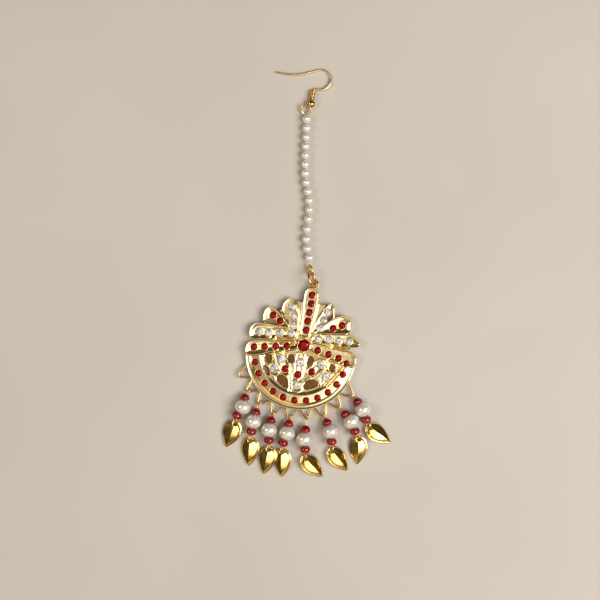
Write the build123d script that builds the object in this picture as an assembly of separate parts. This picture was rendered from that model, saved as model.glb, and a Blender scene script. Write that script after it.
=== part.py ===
"""Maang tikka: a forehead jewel with a fish hook, a string of pearls and a crescent pendant with drops.

It lies flat on its back. +X is to the right, +Y runs up to the hook and +Z is away from the surface.
"""
from build123d import *
import os
from math import asin, atan2, cos, degrees, radians, sin, sqrt

# ---- driving dimensions, millimetres and degrees ---------------------------------------------------

GAP = 0.05                  # clearance between pieces that touch on the real thing

HOOK_BALL_AT = (1.75, 58.98)
HOOK_WIRE_R = 0.375
HOOK_BEND_R = 3.55
HOOK_TILT = -5.2            # the ball lifts the stem, so the far bend comes down to the surface
HOOK_TIP = (-11.9, 11.25)   # from the ball's centre
STEM_TOP = (0.82, 5.05)     # where the stem turns into the bend, from the ball's centre
BEND_CENTRE = (3.4, STEM_TOP[1] + HOOK_BEND_R)
BALL_R = 1.5
COIL_TURNS = 6
COIL_WIRE_R = 0.28
COIL_PITCH = 0.52
EYE_CENTRE = (-1.80, -2.08)  # of the hook's own eye, from the ball's centre
EYE_R = 1.54
EYE_DROP = 25               # the eye slopes down to the surface

SMALL_PEARL_R = 1.5
THREAD_R = 0.1
THREAD_EYE_AT = -79.5       # where the thread goes round the hook's eye
# ends of the string's straight spans: a small pearl sits in the middle of each span
STRAND_KNOTS = [
    (0.25, 55.32), (0.30, 52.02), (0.10, 48.95), (0.00, 45.80), (-0.15, 42.60), (-0.25, 39.45),
    (-0.30, 36.30), (-0.25, 33.10), (0.35, 29.95), (0.95, 26.80), (1.25, 23.60), (1.10, 20.40),
    (0.60, 17.00), (0.10, 13.45), (0.00, 10.00), (0.80, 6.80), (1.40, 3.65),
]
FIRST_PEARL_LIFT = 0.32     # the first pearl rides up on the hook's eye

RING_AXIS = 102.7           # plan direction of the line through both jump rings, from lower to upper
RING_LEAN = 22              # each ring leans this far from upright, one to each side
RINGS = {                   # name: (x, y, centre-line radius, wire radius, lean)
    "ring_upper": (1.38, 0.80, 1.80, 0.36, -RING_LEAN),
    "ring_lower": (2.06, -2.24, 2.70, 0.40, RING_LEAN),
}

PENDANT_AT = (-1.75, -28.52)  # centre of the crescent's circle
PENDANT_TURN = -10.3
CRESCENT_OUT = 19.4
CRESCENT_IN = 13.2
CRESCENT_FROM, CRESCENT_TO = -172, 6
SHEET_TOP = 1.5             # plain sheet between the raised parts
TRAY = dict(rim=2.9, floor=2.0, edge=0.4, slope=0.8)        # petals and arms: heights, edge and slope widths
LEAF_TRAY = dict(rim=2.3, floor=1.75, edge=0.35, slope=0.4)  # leaves of the lattice
SHARPEST = 0.18             # sine of half the sharpest corner an inset follows exactly
BAIL = (0.25, 24.75, 1.40, 0.33, 1.75)  # x, y, centre-line radius, wire radius, height

ZIGZAG_WIRE_R = 0.3
ZIGZAG_Z = 1.6
ZIGZAG_START, ZIGZAG_STEP = -158.2, 15.2
ZIGZAG_ROOT_R = 19.5
ZIGZAG_BEND = 0.6
ZIGZAG_REACH = [22.6, 22.4, 22.3, 23.0, 22.4, 22.1, 23.1, 22.9, 23.1]  # radius of each tip

DROP_PEARL_R = 2.85
DROP_PEARL_FLAT = 2.45      # of each flat round a drill mouth, from the pearl's centre
BEAD_R = 1.7
BEAD_H = 1.9
BEAD_AT = 3.58              # of each bead's centre from the pearl's centre
DRILL_R = 0.3
BEAD_SIDES = 12
DROP_WIRE_R = 0.2
DROP_EYE_R = 0.95
DROP_EYE_LEAN = 30
DROP_SLOPE = 8              # the lower half of each drop slopes down to its leaf
LEAF_HOLE_R = 0.72
LEAF_EDGE_Z = 0.35

# pendant outlines, in the pendant's own frame: +Y to the bail, origin in the crescent's centre
PETALS = {
    "petal_1": [(-17.8, 2.2), (-18.9, 3.2), (-19.2, 5.6), (-18.2, 7.6), (-16.4, 8.3), (-13.0, 8.3),
                (-9.0, 8.2), (-5.6, 8.7), (-2.6, 7.2), (-3.0, 4.8), (-7.1, 3.9), (-12.0, 3.2)],
    "petal_2": [(-14.9, 8.5), (-15.4, 11.0), (-15.1, 13.1), (-14.0, 14.5), (-12.4, 14.4),
                (-10.2, 13.2), (-8.1, 11.4), (-5.0, 8.5), (-9.3, 8.1)],
    "petal_3": [(-9.3, 14.0), (-9.3, 16.1), (-8.3, 17.9), (-7.1, 18.7), (-5.6, 18.2),
                (-4.3, 16.4), (-2.9, 12.5), (-1.9, 6.6), (-5.8, 9.0), (-7.5, 11.2)],
    "petal_4": [(-1.5, 6.0), (-1.8, 10.5), (-2.1, 15.0), (-2.5, 19.0), (-2.5, 21.8), (-1.6, 23.0),
                (0.1, 23.4), (1.5, 22.9), (2.4, 21.7), (2.7, 18.7), (2.6, 15.0), (2.1, 11.0), (1.6, 6.0)],
    "petal_5": [(1.2, 6.4), (4.5, 15.2), (6.2, 18.5), (7.4, 19.4), (8.4, 18.4), (8.9, 16.9),
                (9.4, 14.8), (6.5, 12.1)],
    "petal_6": [(2.4, 7.6), (6.4, 11.8), (9.2, 14.5), (12.0, 15.7), (13.7, 15.6), (14.8, 14.9),
                (15.4, 13.4), (15.8, 10.1), (10.0, 8.9), (5.8, 8.3)],
    "petal_7": [(2.4, 4.8), (3.0, 7.2), (6.0, 8.4), (10.0, 9.0), (15.4, 9.9), (17.2, 9.2), (18.9, 8.2),
                (19.8, 6.9), (19.0, 5.6), (14.0, 5.1), (8.0, 4.9)],
}
ARMS = {
    "arm_left": [(-19.3, -2.8), (-19.5, -0.8), (-18.9, 0.7), (-17.5, 1.7), (-14.5, 2.5), (-8.0, 3.4),
                 (-1.6, 4.7), (-1.4, 1.5), (-5.7, 0.2), (-10.9, -1.0), (-14.0, -2.6), (-17.8, -3.5)],
    "arm_right": [(2.2, 4.5), (6.0, 4.5), (11.0, 4.2), (17.4, 3.8), (19.2, 2.6), (19.6, 0.8),
                  (18.4, -1.2), (15.6, -1.4), (12.1, -0.5), (7.4, 0.4), (2.4, 1.7)],
}
FAN_WEBS = [(-9.2, 14.6), (-6.0, 17.9), (-2.2, 18.0), (2.4, 18.2), (6.2, 18.5), (9.3, 14.9), (15.7, 10.0),
            (17.6, 3.8), (2.0, 2.0), (-2.0, 2.0), (-17.8, 1.9), (-14.9, 8.8)]
LATTICE_LEAVES = [
    [(-9.4, -1.5), (-7.3, -0.9), (-5.4, -1.3), (-4.2, -3.0), (-3.0, -5.0), (-2.6, -7.0), (-3.6, -8.5),
     (-5.4, -8.2), (-7.0, -6.0), (-8.7, -3.7)],
    [(-1.5, 0.6), (1.2, 0.8), (1.9, -1.4), (2.0, -4.5), (1.8, -7.6), (0.6, -8.9), (-0.9, -8.3),
     (-1.6, -5.5), (-1.7, -2.5)],
    [(5.2, -1.4), (7.4, -0.4), (9.3, -0.8), (10.1, -2.2), (9.0, -3.8), (6.9, -5.8), (4.6, -7.2),
     (3.0, -6.2), (3.3, -4.4), (4.6, -3.4)],
    [(-11.0, -6.4), (-9.2, -4.4), (-7.2, -5.6), (-5.9, -7.6), (-6.9, -9.2), (-9.2, -8.8), (-10.7, -7.8)],
    [(8.0, -5.6), (9.9, -4.0), (12.1, -4.4), (12.1, -6.5), (10.8, -8.7), (8.9, -10.2), (8.0, -8.6)],
    [(-1.4, -9.6), (0.5, -9.2), (2.1, -9.6), (2.7, -11.7), (1.9, -13.1), (-0.4, -13.3), (-1.6, -11.8)],
]
LATTICE_HOLES = [
    [(-12.8, -3.0), (-10.0, -1.6), (-9.4, -4.1), (-10.9, -5.3)],
    [(-4.4, -0.9), (-2.2, -0.5), (-2.2, -3.7), (-2.9, -3.8), (-4.2, -2.2)],
    [(2.6, -0.5), (3.9, -0.2), (5.0, -1.1), (4.4, -2.5), (3.2, -3.8), (2.6, -3.3)],
    [(10.7, -1.3), (12.6, -1.9), (12.6, -3.2), (11.9, -4.5), (10.4, -3.4)],
    [(-12.3, -6.1), (-11.1, -5.8), (-9.6, -8.5), (-9.9, -9.7)],
    [(-6.0, -8.0), (-2.8, -9.5), (-2.3, -12.5), (-4.3, -12.2), (-7.2, -9.9)],
    [(3.4, -8.8), (6.4, -7.8), (8.0, -9.2), (6.6, -10.7), (3.7, -12.0), (2.8, -10.9)],
]

# stones: field name: (diameter, girdle height, positions in the pendant's frame)
RED, WHITE, WHITE_BIG = 2.45, 2.65, 3.0
GIRDLE_LOW, GIRDLE_HIGH = 2.35, 2.75
CENTRE_STONE = (0.41, 3.21)
CENTRE_STONE_D, CENTRE_GIRDLE = 4.1, 3.2
CRESCENT_STONE_R = 16.2
CRESCENT_STONES = [(CRESCENT_STONE_R * cos(radians(-160.2 + 14.45 * i)),
                    CRESCENT_STONE_R * sin(radians(-160.2 + 14.45 * i))) for i in range(12)]
STONE_FIELDS = {
    "stones_crescent": (RED, GIRDLE_LOW, CRESCENT_STONES),
    "stones_arm_left": (RED, GIRDLE_HIGH, [(-16.6, -0.4), (-13.0, 0.4), (-9.2, 1.2), (-5.4, 2.0)]),
    "stones_arm_right": (RED, GIRDLE_HIGH, [(5.4, 2.3), (9.4, 1.6), (13.1, 0.9)]),
    "stones_petal_1": (WHITE, GIRDLE_HIGH, [(-15.9, 5.3), (-12.5, 5.4), (-8.7, 5.9), (-4.7, 6.6)]),
    "stones_petal_2": (RED, GIRDLE_HIGH, [(-12.0, 11.7), (-9.3, 10.1)]),
    "stones_petal_3": (WHITE, GIRDLE_HIGH, [(-6.2, 15.8), (-4.8, 12.8), (-4.6, 9.6)]),
    "stones_petal_4": (RED, GIRDLE_HIGH, [(0.1, 21.0), (0.3, 18.0), (0.2, 14.9), (0.2, 11.8), (0.2, 8.6)]),
    "stones_petal_5": (WHITE, GIRDLE_HIGH, [(6.4, 16.2), (5.6, 13.2), (4.8, 10.2)]),
    "stones_petal_6": (RED, GIRDLE_HIGH, [(12.3, 12.4), (9.4, 10.8)]),
    "stones_petal_7": (WHITE, GIRDLE_HIGH, [(15.6, 7.4), (12.1, 6.9), (8.7, 6.7), (5.0, 6.4)]),
    "stones_lattice_red": (RED, GIRDLE_LOW, [(-4.6, -6.0), (0.1, -7.2), (4.7, -5.4)]),
    "stones_lattice_white": (WHITE_BIG, GIRDLE_LOW, [(-6.6, -2.9), (0.1, -2.9), (7.4, -2.4),
                                                     (-8.4, -6.5), (9.7, -6.3), (0.4, -10.9)]),
}

# drops: zigzag tip, pearl x, y, direction of the lower half, of the lower eye, of the leaf, then the eye's
# lean from upright and the leaf's roll and pitch
DROPS = [
    dict(tip=1, x=-21.98, y=-46.94, lower=-127, eye=-83, leaf=-112, lean=-30, roll=0, pitch=9.0),
    dict(tip=2, x=-18.34, y=-51.98, lower=-103, eye=-86, leaf=-95, lean=-30, roll=14, pitch=8.7),
    dict(tip=3, x=-12.85, y=-54.92, lower=-92, eye=-84, leaf=-103, lean=-30, roll=10, pitch=8.9),
    dict(tip=4, x=-6.62, y=-56.10, lower=-112, eye=-84, leaf=-92, lean=-30, roll=15, pitch=8.5),
    dict(tip=5, x=-0.60, y=-58.14, lower=-85, eye=-100, leaf=-47, lean=30, roll=-11, pitch=8.9),
    dict(tip=6, x=8.60, y=-55.45, lower=-85, eye=-95, leaf=-52, lean=30, roll=-11, pitch=8.9),
    dict(tip=7, x=15.86, y=-51.98, lower=-72, eye=-51, leaf=-94, lean=-30, roll=0, pitch=9.0),
    dict(tip=8, x=19.88, y=-47.85, lower=-73, eye=-64, leaf=-36, lean=30, roll=-14, pitch=8.7),
]
LEAF_SECTIONS = [  # distance from the hole towards the point, half width
    (-1.05, 0.55), (-0.85, 1.05), (-0.3, 1.85), (0.6, 2.6), (2.0, 3.1),
    (3.4, 3.2), (5.2, 2.75), (7.0, 1.85), (8.4, 0.95), (9.35, 0.12),
]


# ---- helpers -----------------------------------------------------------------------------------------

def wire_solid(path, radius):
    """Round wire along a smooth path."""
    return sweep(Plane(origin=path @ 0, z_dir=path % 0) * Circle(radius), path=path)


def rod(start, end, radius):
    """Straight round rod between two points."""
    start, end = Vector(*start), Vector(*end)
    line = end - start
    return Plane(origin=start, z_dir=line) * Cylinder(
        radius, line.length, align=(Align.CENTER, Align.CENTER, Align.MIN))


def ring(centre, normal, ring_r, wire_r):
    """Closed round ring of round wire."""
    return Plane(origin=centre, z_dir=normal) * Torus(ring_r, wire_r)


def polar(radius, angle):
    return radius * cos(radians(angle)), radius * sin(radians(angle))


def heading(angle, slope=0.0):
    """Unit vector at a plan angle, sloping down by slope degrees."""
    x, y = polar(cos(radians(slope)), angle)
    return Vector(x, y, -sin(radians(slope)))


def slab(points, height):
    """Flat sheet with this outline, from z 0 up."""
    return extrude(Polygon(*points, align=None), height, dir=(0, 0, 1))


def loft_outlines(layers):
    """Ruled solid through closed outlines, each a height and a list of points."""
    sections = [Plane.XY.offset(height) * Polygon(*points, align=None) for height, points in layers]
    return loft(sections, ruled=True)


def inset(points, distance):
    """Outline moved inwards by a distance, corner for corner."""
    area = sum(a[0] * b[1] - a[1] * b[0] for a, b in zip(points, points[1:] + points[:1]))
    side = 1 if area > 0 else -1
    moved = []
    for before, here, after in zip(points[-1:] + points[:-1], points, points[1:] + points[:1]):
        first = Vector(here[0] - before[0], here[1] - before[1]).normalized()
        second = Vector(after[0] - here[0], after[1] - here[1]).normalized()
        normal = Vector(-first.Y - second.Y, first.X + second.X).normalized() * side
        reach = distance / max(SHARPEST, normal.dot(Vector(-first.Y, first.X)) * side)
        moved.append((here[0] + normal.X * reach, here[1] + normal.Y * reach))
    return moved


def in_pendant(solid):
    """Moves a solid from the pendant's own frame to its place."""
    return Pos(*PENDANT_AT, 0) * Rot(0, 0, PENDANT_TURN) * solid


def pendant_point(x, y, z):
    px, py = polar(sqrt(x * x + y * y), degrees(atan2(y, x)) + PENDANT_TURN)
    return Vector(PENDANT_AT[0] + px, PENDANT_AT[1] + py, z)


# ---- hook ----------------------------------------------------------------------------------------------

def in_hook(solid):
    """Moves a solid from the hook's flat frame, with its origin in the ball's centre, to its place."""
    return Pos(*HOOK_BALL_AT, BALL_R) * Rot(HOOK_TILT, 0, 0) * solid


def stem_point(distance):
    length = sqrt(STEM_TOP[0] ** 2 + STEM_TOP[1] ** 2)
    return STEM_TOP[0] * distance / length, STEM_TOP[1] * distance / length


def eye_joint():
    return Vector(*stem_point(-BALL_R - 2 * GAP))


def in_eye(solid):
    """Slopes the hook's eye down from the foot of the stem."""
    joint = eye_joint()
    return Pos(joint) * Rot(EYE_DROP - HOOK_TILT, 0, 0) * Pos(-joint) * solid


def hook_wire():
    """Stem, bend and tip in one plane, with the eye sloping down below the ball."""
    joint = eye_joint()
    stem = FilletPolyline((joint.X, joint.Y), STEM_TOP, (BEND_CENTRE[0], STEM_TOP[1]), radius=0.6)
    bend = CenterArc(BEND_CENTRE, HOOK_BEND_R, -90, 195)
    run = Line(bend @ 1, bend @ 1 + (bend % 1) * 3.6)
    tip = TangentArc(run @ 1, (*HOOK_TIP, 0), tangent=run % 1)
    wire = wire_solid(Wire([*stem.edges(), bend, run, tip]), HOOK_WIRE_R)
    wire += Pos(*HOOK_TIP) * Sphere(HOOK_WIRE_R)
    start = degrees(atan2(joint.Y - EYE_CENTRE[1], joint.X - EYE_CENTRE[0]))
    eye_arc = CenterArc(EYE_CENTRE, EYE_R, start, -(start + 265))
    eye = wire_solid(Wire([eye_arc]), HOOK_WIRE_R)
    neck = rod(joint, eye_arc @ 0, HOOK_WIRE_R)
    return in_hook(wire + Pos(joint) * Sphere(HOOK_WIRE_R) + in_eye(neck + eye))


def hook_coil():
    ring_r = HOOK_WIRE_R + GAP + COIL_WIRE_R
    turns = [ring(stem_point(1.9 + COIL_PITCH * i), (*STEM_TOP, 0), ring_r, COIL_WIRE_R)
             for i in range(COIL_TURNS)]
    return in_hook(turns[0].fuse(*turns[1:]))


def hook_ball():
    hole = rod(stem_point(-2), stem_point(2), HOOK_WIRE_R + GAP)
    return in_hook(Sphere(BALL_R) - hole)


# ---- string of pearls ------------------------------------------------------------------------------------

def knot_points():
    points = [Vector(x, y, SMALL_PEARL_R + GAP) for x, y in STRAND_KNOTS]
    points[0] += Vector(0, 0, 2 * FIRST_PEARL_LIFT)
    return points


def strand_pearls():
    pearls = []
    knots = knot_points()
    for start, end in zip(knots, knots[1:]):
        middle = (start + end) * 0.5
        along = (end - start).normalized() * 2
        pearls.append(Pos(middle) * Sphere(SMALL_PEARL_R) - rod(middle - along, middle + along, 0.3))
    return Compound([pearl.solid() for pearl in pearls])


def strand_thread():
    """Straight inside each pearl, with a loop round the hook's eye and one round the upper jump ring."""
    knots = knot_points()
    spot = Vector(*EYE_CENTRE) + Vector(*polar(EYE_R, THREAD_EYE_AT))
    hook_end = in_hook(in_eye(Pos(spot))).position
    ring_x, ring_y, ring_r, ring_wire_r, lean = RINGS["ring_upper"]
    ring_end = Vector(ring_x, ring_y, ring_height(ring_r, ring_wire_r, lean)) + heading(RING_AXIS) * ring_r
    thread = thread_loop(hook_end, Vector(1, 0, 0), HOOK_WIRE_R, knots[0])
    thread += thread_loop(ring_end, ring_upright(lean), ring_wire_r, knots[-1])
    for start, end in zip(knots, knots[1:]):
        thread += rod(start, end, THREAD_R) + Pos(end) * Sphere(THREAD_R)
    return thread + Pos(knots[0]) * Sphere(THREAD_R)


def thread_loop(centre, wire_line, wire_r, knot):
    """Loop of thread round a wire, and the short end from it to the first knot."""
    loop_r = wire_r + GAP + THREAD_R
    to_knot = knot - centre
    to_knot -= wire_line * to_knot.dot(wire_line)
    return ring(centre, wire_line, loop_r, THREAD_R) + rod(
        centre + to_knot.normalized() * loop_r, knot, THREAD_R)


# ---- jump rings ------------------------------------------------------------------------------------------

def ring_height(ring_r, wire_r, lean):
    return wire_r + GAP + ring_r * cos(radians(lean))


def ring_upright(lean):
    """Unit vector up a jump ring, in its plane and square to the line through both rings."""
    return heading(RING_AXIS - 90) * -sin(radians(lean)) + Vector(0, 0, cos(radians(lean)))


def jump_ring(name):
    x, y, ring_r, wire_r, lean = RINGS[name]
    normal = ring_upright(lean).cross(heading(RING_AXIS))
    return ring((x, y, ring_height(ring_r, wire_r, lean)), normal, ring_r, wire_r)


# ---- pendant ---------------------------------------------------------------------------------------------

def crescent():
    """Band round the lower half: rounded crest that carries the stones, thin raised edges."""
    profile = [(CRESCENT_IN, 0), (CRESCENT_OUT, 0), (CRESCENT_OUT, 1.7), (CRESCENT_OUT - 0.3, 1.9),
               (CRESCENT_OUT - 0.6, 1.7), (17.6, 2.1), (14.6, 2.15), (CRESCENT_IN + 0.8, 1.8),
               (CRESCENT_IN + 0.4, 2.0), (CRESCENT_IN, 1.8)]
    face = Plane.XZ * Polygon(*profile, align=None)
    band = revolve(face, Axis.Z, CRESCENT_TO - CRESCENT_FROM)
    return Rot(0, 0, CRESCENT_FROM) * band


def tray(points, rim, floor, edge, slope):
    """Petal, arm or leaf: raised edge all round and a sloped valley inside."""
    valley = loft_outlines([(rim + GAP, inset(points, edge)), (floor, inset(points, edge + slope))])
    return slab(points, rim) - valley


def stone_cup(x, y, stone_r, girdle):
    return Pos(x, y, 0) * Cone(stone_r + 0.42, stone_r + 0.27, girdle + 0.12,
                               align=(Align.CENTER, Align.CENTER, Align.MIN))


def stone_seat(x, y, stone_r, girdle):
    """Room for a stone: a cone under the girdle and a straight wall above it."""
    deep = PAVILION * stone_r + 3 * GAP
    seat = Cone(GAP, stone_r + GAP, deep, align=(Align.CENTER, Align.CENTER, Align.MAX))
    mouth = Cylinder(stone_r + GAP, 2, align=(Align.CENTER, Align.CENTER, Align.MIN))
    return Pos(x, y, girdle) * (seat + mouth)


def all_stones():
    """Every stone's place: x, y, radius and girdle height."""
    places = [(x, y, size / 2, girdle) for size, girdle, spots in STONE_FIELDS.values() for x, y in spots]
    return places + [(*CENTRE_STONE, CENTRE_STONE_D / 2, CENTRE_GIRDLE)]


def zigzag():
    corners = []
    for i, reach in enumerate(ZIGZAG_REACH):
        root = ZIGZAG_START + ZIGZAG_STEP * i
        corners.append(polar(ZIGZAG_ROOT_R, root))
        corners.append(polar(reach + ZIGZAG_BEND * 2 / 3, root + ZIGZAG_STEP / 2))
    corners.append(polar(ZIGZAG_ROOT_R, ZIGZAG_START + ZIGZAG_STEP * len(ZIGZAG_REACH)))
    path = FilletPolyline(*corners, radius=ZIGZAG_BEND)
    return Pos(0, 0, ZIGZAG_Z) * wire_solid(path.wire(), ZIGZAG_WIRE_R)


def pendant_plate():
    lattice = extrude(Rectangle(30, 16, align=(Align.CENTER, Align.MAX)), SHEET_TOP) & Cylinder(
        CRESCENT_IN + 0.3, SHEET_TOP, align=(Align.CENTER, Align.CENTER, Align.MIN))
    lattice += slab(FAN_WEBS, SHEET_TOP)
    lattice += slab([(-13, 2.2), (13, 2.2), (13, -0.2), (-13, -0.2)], SHEET_TOP)
    raised = [crescent()] + [tray(points, **TRAY) for points in [*ARMS.values(), *PETALS.values()]]
    raised += [tray(points, **LEAF_TRAY) for points in LATTICE_LEAVES]
    raised += [stone_cup(*stone) for stone in all_stones()]
    x, y, ring_r, wire_r, height = BAIL
    raised += [ring((x, y, height), (0, 0, 1), ring_r, wire_r), zigzag()]
    plate = lattice.fuse(*raised)
    holes = [slab(points, 2 * TRAY["rim"]) for points in LATTICE_HOLES]
    return in_pendant(plate.cut(*holes, *[stone_seat(*stone) for stone in all_stones()]))


# ---- stones ----------------------------------------------------------------------------------------------

PAVILION = 0.86             # depth under the girdle, as a share of the radius
CROWN = 0.34                # height over the girdle
TABLE_R, STAR_R = 0.56, 0.79


def brilliant(radius):
    """Round brilliant with its girdle at z 0: table, 8 stars, 8 kites, 16 upper facets, 16 lower ones."""
    def circle(count, r, z, turn=0.0):
        return [Vector(*polar(r * radius, 360 / count * (i + turn)), z * radius) for i in range(count)]
    star_z = CROWN * (1 - STAR_R * cos(radians(22.5))) / (1 - TABLE_R)
    table = circle(8, TABLE_R, CROWN)
    star = circle(8, STAR_R, star_z, 0.5)
    girdle = circle(16, 1, 0)
    culet = Vector(0, 0, -PAVILION * radius)
    facets = [table]
    for i in range(8):
        here, after = 2 * i, 2 * i + 1
        facets.append([table[i], star[i], table[(i + 1) % 8]])
        facets.append([table[i], star[i - 1], girdle[here], star[i]])
        facets.append([star[i], girdle[here], girdle[after]])
        facets.append([star[i], girdle[after], girdle[(after + 1) % 16]])
    facets += [[girdle[i], girdle[(i + 1) % 16], culet] for i in range(16)]
    return Solid(Shell([Face(Wire.make_polygon(points)) for points in facets]))


def stone_field(name):
    size, girdle, spots = STONE_FIELDS[name]
    stone = brilliant(size / 2)
    return Compound([in_pendant(Pos(x, y, girdle) * stone) for x, y in spots])


def centre_stone():
    return in_pendant(Pos(*CENTRE_STONE, CENTRE_GIRDLE) * brilliant(CENTRE_STONE_D / 2))


# ---- drops -----------------------------------------------------------------------------------------------

class DropPlan:
    """Places along one drop, from the zigzag tip to the leaf's hole."""

    def __init__(self, drop):
        angle = ZIGZAG_START + ZIGZAG_STEP * (drop["tip"] + 0.5)
        self.tip = pendant_point(*polar(ZIGZAG_REACH[drop["tip"]], angle), ZIGZAG_Z)
        self.outward = heading(angle + PENDANT_TURN)
        self.top = self.tip + self.outward * DROP_EYE_R
        self.pearl = Vector(drop["x"], drop["y"], DROP_PEARL_R + GAP)
        self.up = (self.top - self.pearl).normalized()
        self.down = heading(drop["lower"], DROP_SLOPE)
        self.beads = [(self.pearl + line * BEAD_AT, line) for line in (self.up, self.down)]
        self.end = self.pearl + self.down * (BEAD_AT + BEAD_H / 2 + 3 * GAP + DROP_WIRE_R)
        self.eye_line = heading(drop["eye"], DROP_SLOPE)
        self.hole = self.end + self.eye_line * (2 * DROP_EYE_R)


def eye_ring(centre, line, lean):
    """Eye at a wire's end: its plane holds the line and leans from upright."""
    side = line.cross(Vector(0, 0, 1)).normalized()
    rise = side.cross(line)
    normal = side * cos(radians(lean)) + rise * sin(radians(lean))
    return ring(centre, normal, DROP_EYE_R, DROP_WIRE_R)


def drop_wire(plan, drop):
    """Two straight runs that meet inside the pearl, with an eye at each end."""
    stem = rod(plan.top, plan.pearl, DROP_WIRE_R) + Pos(plan.pearl) * Sphere(DROP_WIRE_R)
    stem += rod(plan.pearl, plan.end, DROP_WIRE_R)
    stem += eye_ring(plan.tip, plan.outward, DROP_EYE_LEAN)
    return stem + eye_ring(plan.end + plan.eye_line * DROP_EYE_R, plan.eye_line, drop["lean"])


def drop_beads(plan):
    """Two faceted beads, each cut to a barrel with a flat belt."""
    sections = [(-BEAD_H / 2, 0.66), (-BEAD_H / 6, 1.0), (BEAD_H / 6, 1.0), (BEAD_H / 2, 0.66)]
    body = loft([Plane.XY.offset(z) * RegularPolygon(BEAD_R * share, BEAD_SIDES) for z, share in sections],
                ruled=True)
    body -= Cylinder(DRILL_R, 2 * BEAD_H)
    return Compound([(Plane(origin=at, z_dir=line) * body).solid() for at, line in plan.beads])


def drop_pearl(plan):
    """Pearl drilled from both ends to meet in the middle, with a flat round each mouth."""
    pearl = Pos(plan.pearl) * Sphere(DROP_PEARL_R)
    for line, radius in ((plan.up, DRILL_R), (plan.down, DRILL_R + GAP)):
        outside = plan.pearl + line * 2 * DROP_PEARL_R
        pearl -= rod(plan.pearl + line * DROP_PEARL_FLAT, outside, DROP_PEARL_R)
        pearl -= rod(plan.pearl - line * DRILL_R / 2, outside, radius)
    return pearl


def drop_leaf(plan, drop):
    """Pointed leaf with a bevelled edge, a ridge from the hole to the point and a flat back."""
    widest = max(half for _, half in LEAF_SECTIONS)
    sections = []
    for y, half in LEAF_SECTIONS:
        share = half / widest
        shoulder = LEAF_EDGE_Z + 0.55 * share
        crest = shoulder + 0.3 * share
        points = [(-half, 0), (half, 0), (half, LEAF_EDGE_Z), (0.72 * half, shoulder), (0, crest),
                  (-0.72 * half, shoulder), (-half, LEAF_EDGE_Z)]
        sections.append(Plane(origin=(0, y, 0), x_dir=(1, 0, 0), z_dir=(0, -1, 0)) * Polygon(*points, align=None))
    leaf = loft(sections, ruled=True) - Cylinder(LEAF_HOLE_R, 4)
    turn = drop["leaf"] - 90
    return Pos(plan.hole) * Rot(0, 0, turn) * Rot(-drop["pitch"], 0, 0) * Rot(0, drop["roll"], 0) * Pos(
        0, 0, -0.45) * leaf


# ---- assembly --------------------------------------------------------------------------------------------

def build_nodes():
    nodes = {"hook_wire": hook_wire(), "hook_coil": hook_coil(), "hook_ball": hook_ball(),
             "strand_pearls": strand_pearls(), "strand_thread": strand_thread()}
    for name in RINGS:
        nodes[name] = jump_ring(name)
    nodes["pendant_plate"] = pendant_plate()
    nodes["centre_stone"] = centre_stone()
    for name in STONE_FIELDS:
        nodes[name] = stone_field(name)
    for number, drop in enumerate(DROPS, start=1):
        plan = DropPlan(drop)
        nodes[f"drop_{number}_wire"] = drop_wire(plan, drop)
        nodes[f"drop_{number}_beads"] = drop_beads(plan)
        nodes[f"drop_{number}_pearl"] = drop_pearl(plan)
        nodes[f"drop_{number}_leaf"] = drop_leaf(plan, drop)
    return nodes


def main():
    os.makedirs("parts", exist_ok=True)
    nodes = build_nodes()
    boxes = [node.bounding_box() for node in nodes.values()]
    low = [min(getattr(box.min, axis) for box in boxes) for axis in "XYZ"]
    high = [max(getattr(box.max, axis) for box in boxes) for axis in "XYZ"]
    home = Pos(-(low[0] + high[0]) / 2, -(low[1] + high[1]) / 2, -low[2])
    print("box", low, high)
    for name, node in nodes.items():
        export_step(Compound([home * solid for solid in node.solids()]), f"parts/{name}.step")


main()
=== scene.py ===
"""Maang tikka: dresses the fixed CAD frame with worked metal, stones, pearls and thread, and lights it.

Lengths in the tables are millimetres in the maker's layout: +Y to the hook, +Z up off the table.
"""
from math import acos, atan2, cos, pi, radians, sin, sqrt, tan

import bmesh
import bpy
import numpy as np
from mathutils import Matrix, Vector


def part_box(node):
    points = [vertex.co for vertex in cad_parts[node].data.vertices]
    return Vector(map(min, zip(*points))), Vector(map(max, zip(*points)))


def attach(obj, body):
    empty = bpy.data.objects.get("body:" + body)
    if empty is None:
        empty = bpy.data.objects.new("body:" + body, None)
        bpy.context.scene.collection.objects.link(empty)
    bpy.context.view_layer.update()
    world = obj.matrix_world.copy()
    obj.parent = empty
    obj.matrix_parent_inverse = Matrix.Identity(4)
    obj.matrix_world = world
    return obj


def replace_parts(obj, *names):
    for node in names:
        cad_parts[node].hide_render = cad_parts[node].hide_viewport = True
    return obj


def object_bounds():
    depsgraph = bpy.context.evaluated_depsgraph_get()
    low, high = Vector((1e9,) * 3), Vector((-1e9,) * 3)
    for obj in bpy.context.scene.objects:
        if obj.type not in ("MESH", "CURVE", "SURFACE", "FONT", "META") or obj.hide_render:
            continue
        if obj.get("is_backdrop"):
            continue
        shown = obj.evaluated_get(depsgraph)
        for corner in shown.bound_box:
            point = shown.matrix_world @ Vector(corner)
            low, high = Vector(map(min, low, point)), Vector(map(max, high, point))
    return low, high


bl_info = {
    "name": "Maang Tikka",
    "version": (1, 0, 0),
    "blender": (4, 5, 0),
    "location": "3D View > Sidebar > Tikka",
    "description": "Pendant, pearl string, hook and drops of a lying maang tikka",
    "category": "Object",
}

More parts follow.
